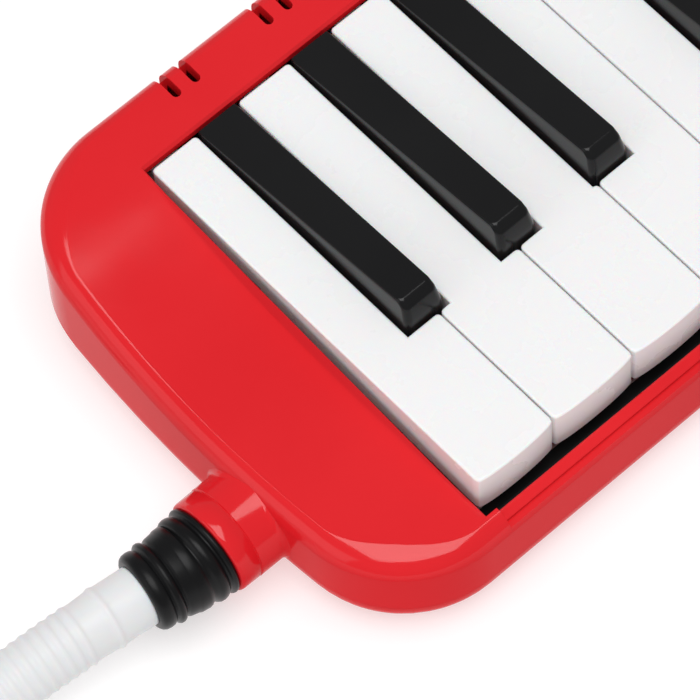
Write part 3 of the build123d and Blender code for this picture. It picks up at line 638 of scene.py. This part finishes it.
def outer_walls():
    """The band all round, and the walls below it apart from the ends."""
    for i in range(len(outline) - 1):
        pair = outline[i], outline[i + 1]
        foot = [(Vector((p.x, p.y, PART_LINE)), n) for p, n in pair]
        if vent_gap(pair[0][0], pair[1][0]):
            head = [(Vector((p.x, p.y, VENT_LOW)), n) for p, n in pair]
            case.face([foot[0], foot[1], head[1], head[0]])
            continue
        if not on_end(pair[0][0]):
            case.face([foot[0], foot[1], rows[0][i + 1], rows[0][i]])
        for low, high in zip(rows, rows[1:]):
            case.face([low[i], low[i + 1], high[i + 1], high[i]])


def end_wall(side):
    """One end's wall below the band, left (-1) or right (1), with its hole for the socket or the button."""
    def on_wall(y, z):
        across = END_CENTRE - math.sqrt(END_R**2 - (y - MIDDLE_Y)**2)
        lean = (y - MIDDLE_Y) / END_R
        return (Vector((across if side < 0 else WELL_LENGTH - across, y, z)),
                Vector((side * math.sqrt(1 - lean**2), lean, 0)))

    wanted = [i for i in range(len(outline) - 1)
              if (outline[i][0].x < 0) == (side < 0) and on_end(outline[i][0])]
    corners = [rows[0][i][0] for i in wanted + [wanted[-1] + 1]]
    bottom = [(p.y, PART_LINE) for p in reversed(corners)]
    hole_y, hole_z, r = (PORT_Y, PORT_Z, SOCKET_HOLE_R) if side < 0 else (BUTTON_Y, BUTTON_Z, BUTTON_HOLE_R)
    turns = [math.tau * k / HOLE_STEPS for k in range(HOLE_STEPS)]
    holes = [[(hole_y + r * math.cos(angle), hole_z + r * math.sin(angle)) for angle in turns]]
    if side < 0:
        # the socket's hole runs past the parting line, so it is a notch in the wall's lower edge
        reach = math.sqrt(r**2 - (PART_LINE - hole_z)**2)
        arch = [p for p in holes.pop() if p[1] > PART_LINE + 0.05]
        arch.sort(key=lambda p: (math.atan2(p[1] - hole_z, p[0] - hole_y) + math.pi / 2) % math.tau)
        arch = [(hole_y + reach, PART_LINE)] + arch + [(hole_y - reach, PART_LINE)]
        ahead = [p for p in bottom if p[0] > hole_y + reach + NOTCH_ROOM]
        behind = [p for p in bottom if p[0] < hole_y - reach - NOTCH_ROOM]
        bottom = behind + arch[::-1] + ahead if bottom[0][0] < bottom[-1][0] else ahead + arch + behind
    for triangle in triangles([(p.y, p.z) for p in corners] + bottom, holes):
        case.face([on_wall(*p) for p in triangle])


def top_face():
    """The top, from the band to the key well, open at the air slots."""
    border = []
    bend = [math.pi * k / VENT_STEPS for k in range(VENT_STEPS + 1)]
    for i, (spot, _) in enumerate(rows[-1]):
        border.append((spot.x, spot.y))
        if i + 1 < len(outline) and vent_gap(outline[i][0], outline[i + 1][0]):
            x = (spot.x + rows[-1][i + 1][0].x) / 2
            border += [(x - VENT_HALF * math.cos(a), VENT_INNER - VENT_HALF * math.sin(a)) for a in bend]
    border += [(WELL_LENGTH - RAIL_INSET, RAIL_BACK), (WELL_LENGTH + EDGE_R, RAIL_BACK),
               (WELL_LENGTH + EDGE_R, LIP), (-EDGE_R, LIP), (-EDGE_R, RAIL_BACK), (RAIL_INSET, RAIL_BACK)]
    ends = [-GRID_REACH + GRID_END * k for k in range(9)]
    ends += [WELL_LENGTH + GRID_REACH - GRID_END * k for k in range(9)]
    grid = [(x, CASE_FRONT + GRID_ROW * k) for k in range(1, 122) for x in ends]
    grid += [(2.0 + GRID_BACK * k, y) for y in BACK_ROWS for k in range(86)]
    for triangle in triangles(border, extra=grid):
        case.face([(Vector((x, y, top_at(y)[0])), top_normal(y)) for x, y in triangle])


def well_end(x, side):
    """The round edge and the wall at one end of the key well."""
    along = [RAIL_BACK + (LIP - RAIL_BACK) * k / WELL_STEPS for k in range(WELL_STEPS + 1)]
    edge_rows = []
    for k in range(EDGE_STEPS + 1):
        angle = math.pi / 2 * k / EDGE_STEPS
        across, drop = x - side * EDGE_R * (1 - math.sin(angle)), EDGE_R * (1 - math.cos(angle))
        normal = Vector((side * math.sin(angle), 0, math.cos(angle)))
        edge_rows.append([(Vector((across, y, top_at(y)[0] - drop)), normal) for y in along])
    for low, high in zip(edge_rows, edge_rows[1:]):
        case.strip(low, high)
    out = Vector((side, 0, 0))
    wall_foot = [(Vector((x, y, WELL_FOOT if y < WELL_FOOT_TURN else WELL_FOOT_REAR)), out) for y in along]
    case.strip([(p, out) for p, _ in edge_rows[-1]], wall_foot)


def back_lip():
    """The sloping lip behind the keys, its front and its underside."""
    edges = [(-EDGE_R, WELL_LENGTH + EDGE_R, LIP, top_at(LIP)[0]), (0, WELL_LENGTH, LIP_FRONT, LIP_LOW),
             (0, WELL_LENGTH, LIP_FRONT, LIP_FOOT), (0, WELL_LENGTH, LIP_REAR, LIP_FOOT)]
    for near, far, normal in zip(edges, edges[1:], [(0, -0.75, 0.66), (0, -1, 0), (0, 0, -1)]):
        case.flat(plank(near, far), normal)


def front_rail():
    """The rail along the front with its step, and the ends of the block on each side of it."""
    x0, x1 = RAIL_INSET, WELL_LENGTH - RAIL_INSET
    cut = math.acos(math.cos(CREASE) - (FRONT_TOP - RAIL_LOW) / ROUND_R)
    angles = [math.pi / 2 - (math.pi / 2 - cut) * k / RAIL_STEPS for k in range(RAIL_STEPS + 1)]
    face = [((CASE_FRONT, PART_LINE), Vector((0, -1, 0)))]
    for a in angles:
        inset, drop = ROUND_R * (1 - math.sin(a)), ROUND_R * (math.cos(CREASE) - math.cos(a))
        face.append(((CASE_FRONT + inset, FRONT_TOP - drop), Vector((0, -math.sin(a), math.cos(a)))))
    for (a, na), (b, nb) in zip(face, face[1:]):
        case.face(list(zip(plank((x0, x1, *a), (x0, x1, *b)), (na, na, nb, nb))))
    face_top = face[-1][0]
    steps = [face_top, (RAIL_STEP_Y - 0.1, RAIL_LOW), (RAIL_STEP_Y, RAIL_LOW + 0.1),
             (RAIL_STEP_Y, RAIL_TOP - RAIL_ROUND), (RAIL_STEP_Y + RAIL_ROUND, RAIL_TOP),
             (RAIL_BACK - 0.25, RAIL_TOP), (RAIL_BACK, RAIL_TOP - 0.25), (RAIL_BACK, RAIL_FOOT)]
    for a, b in zip(steps, steps[1:]):
        case.flat(plank((x0, x1, *a), (x0, x1, *b)), Vector((0, a[1] - b[1], b[0] - a[0])).normalized())
    for index, x, out in ((0, x0, 1), (-1, x1, -1)):
        curve = [(row[index][0].y, row[index][0].z) for row in rows if row[index][0].z > RAIL_LOW]
        block = [face_top] + curve + [(RAIL_BACK, FRONT_TOP), (RAIL_BACK, RAIL_TOP),
                                      (RAIL_STEP_Y, RAIL_TOP), (RAIL_STEP_Y, RAIL_LOW)]
        case.flat([Vector((x, *p)) for p in block], (out, 0, 0))
        edge = (0.0 if out > 0 else WELL_LENGTH) - out * EDGE_R
        case.flat(plank((x, edge, RAIL_BACK, FRONT_TOP), (x, edge, RAIL_BACK, RAIL_FOOT)), (0, 1, 0))


def air_slot(x):
    """The walls, the sill and the round inner end of one air slot."""
    wall_y = CASE_BACK - WALL
    for side in (-1, 1):
        edge = Vector((x + side * VENT_HALF, CASE_BACK, 0))
        wall = [band_point(edge, Vector((0, 1, 0)), a)[0] for a in BAND]
        wall.insert(0, Vector((wall[0].x, CASE_BACK, VENT_LOW)))
        wall.append(Vector((wall[0].x, VENT_INNER, top_at(VENT_INNER)[0])))
        inner = [Vector((p.x, min(p.y, wall_y), ROOF_LOW if p.y < wall_y else VENT_LOW)) for p in wall]
        case.strip([(p, (-side, 0, 0)) for p in wall], [(p, (-side, 0, 0)) for p in inner])
    edges = [(x - VENT_HALF, x + VENT_HALF, y, VENT_LOW) for y in (CASE_BACK, wall_y)]
    case.flat(plank(*edges), (0, 0, 1))
    upper, lower = [], []
    for k in range(VENT_STEPS + 1):
        angle = math.pi * k / VENT_STEPS
        way = Vector((-math.cos(angle), -math.sin(angle), 0))
        spot = Vector((x, VENT_INNER, 0)) + way * VENT_HALF
        upper.append((Vector((spot.x, spot.y, top_at(spot.y)[0])), -way))
        lower.append((Vector((spot.x, spot.y, ROOF_LOW)), -way))
    case.strip(upper, lower)


outer_walls()
end_wall(-1)
end_wall(1)
top_face()
well_end(0.0, 1)
well_end(WELL_LENGTH, -1)
back_lip()
front_rail()
for vent in vents:
    air_slot(vent)
stand_in(case.build("case_top"), "body", "upper_case", "red_case")

# ------------------------------------------------------------------ socket

SOCKET_PROFILE = [          # (mm in from the rim, radius), then the turns of the foot's curve into the wall
    (13.0, 7.02), (0.5, 7.02), (0.12, 7.25), (0.0, 7.7), (0.0, 9.0), (0.1, 9.4), (0.35, 9.66), (0.8, 9.76),
    (4.35, 9.8), (4.5, 9.64), (4.65, 9.64), (4.8, 9.86)] + [("foot", 11.25 * k) for k in range(9)]
SOCKET_R, FOOT_R, FOOT_SINK = 9.88, 1.3, 0.08


def case_x(y, z):
    """Where the case's left end is at this height."""
    wall = END_CENTRE - math.sqrt(END_R**2 - (y - MIDDLE_Y)**2)
    drop = top_at(y)[0] - z
    if drop < ROUND_R * math.cos(CREASE):
        return wall + ROUND_R * (1 - math.sqrt(1 - (math.cos(CREASE) - max(drop, 0) / ROUND_R)**2))
    if z > PART_LINE:
        return wall
    below = max(0.0, SHELL_TURN - z)
    return wall + SHELL_STEP + SHELL_ROUND - math.sqrt(SHELL_ROUND**2 - below**2)


def socket_point(s, r, angle):
    """A point on the socket; in the rows marked foot, r is how far the foot has turned, in degrees."""
    side, up = math.cos(angle), math.sin(angle)
    if s != "foot":
        return PORT + Vector((s, r * side, r * up))
    reach, turn = SOCKET_R + FOOT_R, math.radians(r)
    wall = case_x(PORT.y + reach * side, PORT.z + reach * up)
    out = reach - FOOT_R * math.cos(turn)
    x = wall + FOOT_SINK - FOOT_R + FOOT_R * math.sin(turn)
    return Vector((x, PORT.y + out * side, PORT.z + out * up))


socket = lathe("socket", SOCKET_PROFILE, socket_point, sides=128, closed=False)
stand_in(socket, "body", "blow_socket", "red_case")

# ------------------------------------------------------------------ keys

KEY_PITCH, WHITE_KEYS, KEY_COUNT = 19.5, 19, 32
OCTAVE_STEPS, OCTAVE_WHITES = 12, 7
WHITE_STEPS = (0, 2, 4, 6, 7, 9, 11)            # the white keys' steps in an octave that starts on F
SHARP_STEPS = (1, 3, 5, 8, 10)
WHITE_GAP, END_GAP = 0.3, 1.1
WHITE_FRONT, FRONT_BOW, KEY_BACK = -88.3, 0.9, -0.3
WHITE_CORNER, BOW_STEPS = 0.9, 24
NOTCH_FRONT, NOTCH_HALF = -58.0, 5.1
SKIRT_BACK, SKIRT_LOW, SIDE_LOW = -75.0, -10.0, -5.2        # the key's lower edge drops at its front
BLACK_BACK, BLACK_RISE, BLACK_SLOPE = -0.5, 0.7, 0.1039     # the top at the back, and how it climbs forward
BLACK_HALF, BLACK_DRAFT = 4.6, 0.135
BLACK_FOOT, FOOT_SLOPE = -2.2, 0.0667
LEVER = [                   # (y, z) of the parts under each key, from the front
    (-45, -1.5), (-45, -4.5), (-33, -4.5), (-29, -8.4), (9.3, -8.4), (9.3, -4.2), (-0.3, -4.2), (-0.3, -1.5)]
PAD = [(-1.0, -8.4), (-1.0, -10.45), (8.8, -10.45), (8.8, -8.4)]
PIVOT_Y, PIVOT_Z, BOSS_R, BOSS_STEPS = -27.0, -7.4, 2.6, 24
BOSS = [(PIVOT_Y + BOSS_R * math.cos(math.tau * k / BOSS_STEPS),
         PIVOT_Z + BOSS_R * math.sin(math.tau * k / BOSS_STEPS)) for k in range(BOSS_STEPS)]
LEVER_HALF = 3.2
WHITE_EDGE = [              # (inset, drop) of the round edge at the top
    (0.0, 0.55), (0.03, 0.33), (0.13, 0.13), (0.33, 0.03), (0.55, 0.0)]
BLACK_LEVELS = [            # (share of the height, least drop from the top, front, inset, corner radius)
    (0.00, 6.00, -57.50, 0.00, 1.40), (0.35, 3.60, -57.05, 0.00, 1.40), (0.70, 1.80, -56.38, 0.00, 1.35),
    (0.76, 1.50, -56.18, 0.00, 1.30), (0.80, 1.25, -55.95, 0.00, 1.30), (0.84, 1.02, -55.65, 0.00, 1.30),
    (0.93, 0.50, -54.98, 0.00, 1.20), (0.965, 0.24, -54.66, 0.08, 1.10), (0.99, 0.07, -54.36, 0.26, 1.00),
    (1.00, 0.00, -54.00, 0.50, 0.90)]


def is_sharp(step):
    return step % OCTAVE_STEPS in SHARP_STEPS


def corner(x, y, r, start, steps=6):
    """Points round a quarter circle about (x, y), from the start angle in degrees."""
    angles = [math.radians(start + 90 * k / steps) for k in range(steps + 1)]
    return [(x + r * math.cos(a), y + r * math.sin(a)) for a in angles]


def white_ring(step, inset):
    """A white key seen from above, drawn in by inset, anticlockwise from its back left corner."""
    octave, tone = divmod(step, OCTAVE_STEPS)
    number = octave * OCTAVE_WHITES + WHITE_STEPS.index(tone)
    left = number * KEY_PITCH + (END_GAP if number == 0 else WHITE_GAP / 2) + inset
    right = (number + 1) * KEY_PITCH - (END_GAP if number == WHITE_KEYS - 1 else WHITE_GAP / 2) - inset
    notch_left = step > 0 and is_sharp(step - 1)
    notch_right = step < KEY_COUNT - 1 and is_sharp(step + 1)
    back_left = tail_x(step - 1) + NOTCH_HALF + inset if notch_left else left
    back_right = tail_x(step + 1) - NOTCH_HALF - inset if notch_right else right
    back, front, notch = KEY_BACK - inset, WHITE_FRONT + inset, NOTCH_FRONT - inset
    r = WHITE_CORNER - inset
    points = corner(back_left + r, back - r, r, 90)
    if notch_left:
        points += [(back_left, notch)] + corner(left + r, notch - r, r, 90)
    points += [(left, front + r * k / 4) for k in range(20, 3, -4)]
    middle, half = (left + right) / 2, (right - left) / 2
    for k in range(BOW_STEPS + 1):
        angle = math.pi * k / BOW_STEPS
        points.append((middle - (half - r * 0.25) * math.cos(angle),
                       front + 0.25 * r - FRONT_BOW * math.sin(angle)))
    points += [(right, front + r * k / 4) for k in range(4, 21, 4)]
    if notch_right:
        points += corner(right - r, notch - r, r, 0) + [(back_right, notch)]
    return points + corner(back_right - r, back - r, r, 0)


def black_ring(step, level):
    """A black key at one of its levels, open at the back, anticlockwise from its back left corner."""
    share, drop, front, inset, r = level
    x = tail_x(step)

    def height(y):
        top = BLACK_RISE + (BLACK_BACK - y) * BLACK_SLOPE
        return min(share * top, top - drop)

    def half(y):
        return BLACK_HALF - BLACK_DRAFT * max(0.0, height(y)) - inset

    points = [(x - half(BLACK_BACK), BLACK_BACK)]
    points += corner(x - half(front) + r, front + r, r, 180)
    points += corner(x + half(front) - r, front + r, r, 270)
    points.append((x + half(BLACK_BACK), BLACK_BACK))
    return [(px, py, height(py)) for px, py in points]


def key_piece(name, rings, step):
    """A key: rings from its lower edge to its top, a flat top, and the lever, boss and pad under it."""
    verts = [p for ring_points in rings for p in ring_points]
    sides = len(rings[0])
    faces = []
    for i in range(0, len(verts) - sides, sides):
        for k in range(sides):
            m = (k + 1) % sides
            faces.append((i + k, i + m, i + sides + m, i + sides + k))
    faces.append(tuple(range(len(verts) - sides, len(verts))))
    x = tail_x(step)
    for outline in (LEVER, PAD, BOSS):
        first, count = len(verts), len(outline)
        verts += [(x + side * LEVER_HALF, y, z) for side in (-1, 1) for y, z in outline]
        for k in range(count):
            m = (k + 1) % count
            faces.append((first + k, first + m, first + count + m, first + count + k))
        faces += [tuple(range(first, first + count)), tuple(range(first + count, first + 2 * count))]
    made = mesh_object(name, [DATUM + Vector(p) / 1000 for p in verts], faces)
    finish_surface(made, 40.0)
    made.modifiers.new("even", "WEIGHTED_NORMAL").keep_sharp = True
    return made


def white_rings(step):
    """The foot and the rounded top edge of a white key."""
    foot = [(x, y, SKIRT_LOW if y < SKIRT_BACK else SIDE_LOW) for x, y in white_ring(step, 0.0)]
    return [foot] + [[(x, y, -drop) for x, y in white_ring(step, inset)] for inset, drop in WHITE_EDGE]


def black_rings(step):
    """The sloping foot of a black key, and its levels."""
    levels = [black_ring(step, level) for level in BLACK_LEVELS]
    return [[(x, y, BLACK_FOOT - (BLACK_BACK - y) * FOOT_SLOPE) for x, y, _ in levels[0]]] + levels


for step in range(KEY_COUNT):
    colour, rings = ("black", black_rings(step)) if is_sharp(step) else ("white", white_rings(step))
    piece = key_piece(f"key_{step + 1:02d}_top", rings, step)
    node = f"key_{step + 1:02d}_{colour}"
    stand_in(piece, node, node, f"{colour}_key")

# ------------------------------------------------------------------ springs

SPRING_Y, DECK_TOP, SEAT_Z = -40.0, -10.5, -4.5
KEY_SPRING_R, KEY_SPRING_TURNS, KEY_SPRING_WIRE = 1.9, 4, 0.25
DRAIN_SPRING_X, DRAIN_SPRING, DRAIN_TRAVEL = 377.5, 16.8, 2.0
DRAIN_SPRING_R, DRAIN_SPRING_TURNS, DRAIN_SPRING_WIRE = 2.4, 7, 0.3
TURN_STEPS, WIRE_SIDES = 16, 8


def spring(name, start, along, length, radius, turns, wire):
    """A coil spring in mm from the datum, from its fixed end along a direction."""
    across = along.orthogonal().normalized()
    other = along.cross(across)
    points = []
    for k in range(turns * TURN_STEPS + 1):
        angle = math.tau * k / TURN_STEPS
        rise = wire + (length - 2 * wire) * k / (turns * TURN_STEPS)
        place = (start + along * rise + across * (radius * math.cos(angle))
                 + other * (radius * math.sin(angle)))
        points.append(DATUM + place / 1000)
    return tube(name, (points, length / 1000), lambda s, whole: wire / 1000, WIRE_SIDES)


def place_spring(made, node):
    """The spring stands on the body, with a mesh of its own."""
    stand_in(made, "body", node, "steel")
    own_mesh(made)


KEY_SPRING = SEAT_Z - DECK_TOP
for step in range(KEY_COUNT):
    colour = "black" if is_sharp(step) else "white"
    start = Vector((tail_x(step), SPRING_Y, DECK_TOP))
    made = spring(f"key_{step + 1:02d}_spring", start, Vector((0, 0, 1)), KEY_SPRING,
                  KEY_SPRING_R, KEY_SPRING_TURNS, KEY_SPRING_WIRE)
    place_spring(made, "key_springs")
start = Vector((DRAIN_SPRING_X, BUTTON_Y, BUTTON_Z))
made = spring("drain_return_spring", start, Vector((1, 0, 0)), DRAIN_SPRING,
              DRAIN_SPRING_R, DRAIN_SPRING_TURNS, DRAIN_SPRING_WIRE)
place_spring(made, "drain_spring")

# ------------------------------------------------------------------ floor and light

FLOOR_REACH = 4.0
floor = mesh_object("floor", [(-FLOOR_REACH, -FLOOR_REACH, 0), (FLOOR_REACH, -FLOOR_REACH, 0),
                              (FLOOR_REACH, FLOOR_REACH, 0), (-FLOOR_REACH, FLOOR_REACH, 0)], [(0, 1, 2, 3)])
paper = Shader("paper", Roughness=0.9)
paper.surface.inputs["Base Color"].default_value = (0.50, 0.50, 0.50, 1.0)
paper.surface.inputs["Emission Color"].default_value = (1.0, 1.0, 1.0, 1.0)
paper.surface.inputs["Emission Strength"].default_value = 0.56
floor.data.materials.append(paper.material)


LIGHT_TARGET = Vector((-0.15, 0.0, 0.03))


def softbox(name, place, size, power):
    """A square lamp that faces the object."""
    data = bpy.data.lights.new(name, "AREA")
    data.shape = "RECTANGLE"
    data.size = size
    data.size_y = size
    data.energy = power
    lamp = bpy.data.objects.new(name, data)
    lamp.location = place
    lamp.rotation_euler = (LIGHT_TARGET - Vector(place)).to_track_quat("-Z", "Y").to_euler()
    scene.collection.objects.link(lamp)


softbox("top", (-0.35, -0.3, 1.9), 1.4, 28.0)
softbox("left", (-1.5, 0.2, 0.6), 1.0, 3.0)

world = bpy.data.worlds.new("studio")
world.use_nodes = True
world.node_tree.nodes["Background"].inputs["Color"].default_value = (1.0, 1.0, 1.0, 1.0)
world.node_tree.nodes["Background"].inputs["Strength"].default_value = 0.35
scene.world = world
scene.view_settings.view_transform = "Standard"
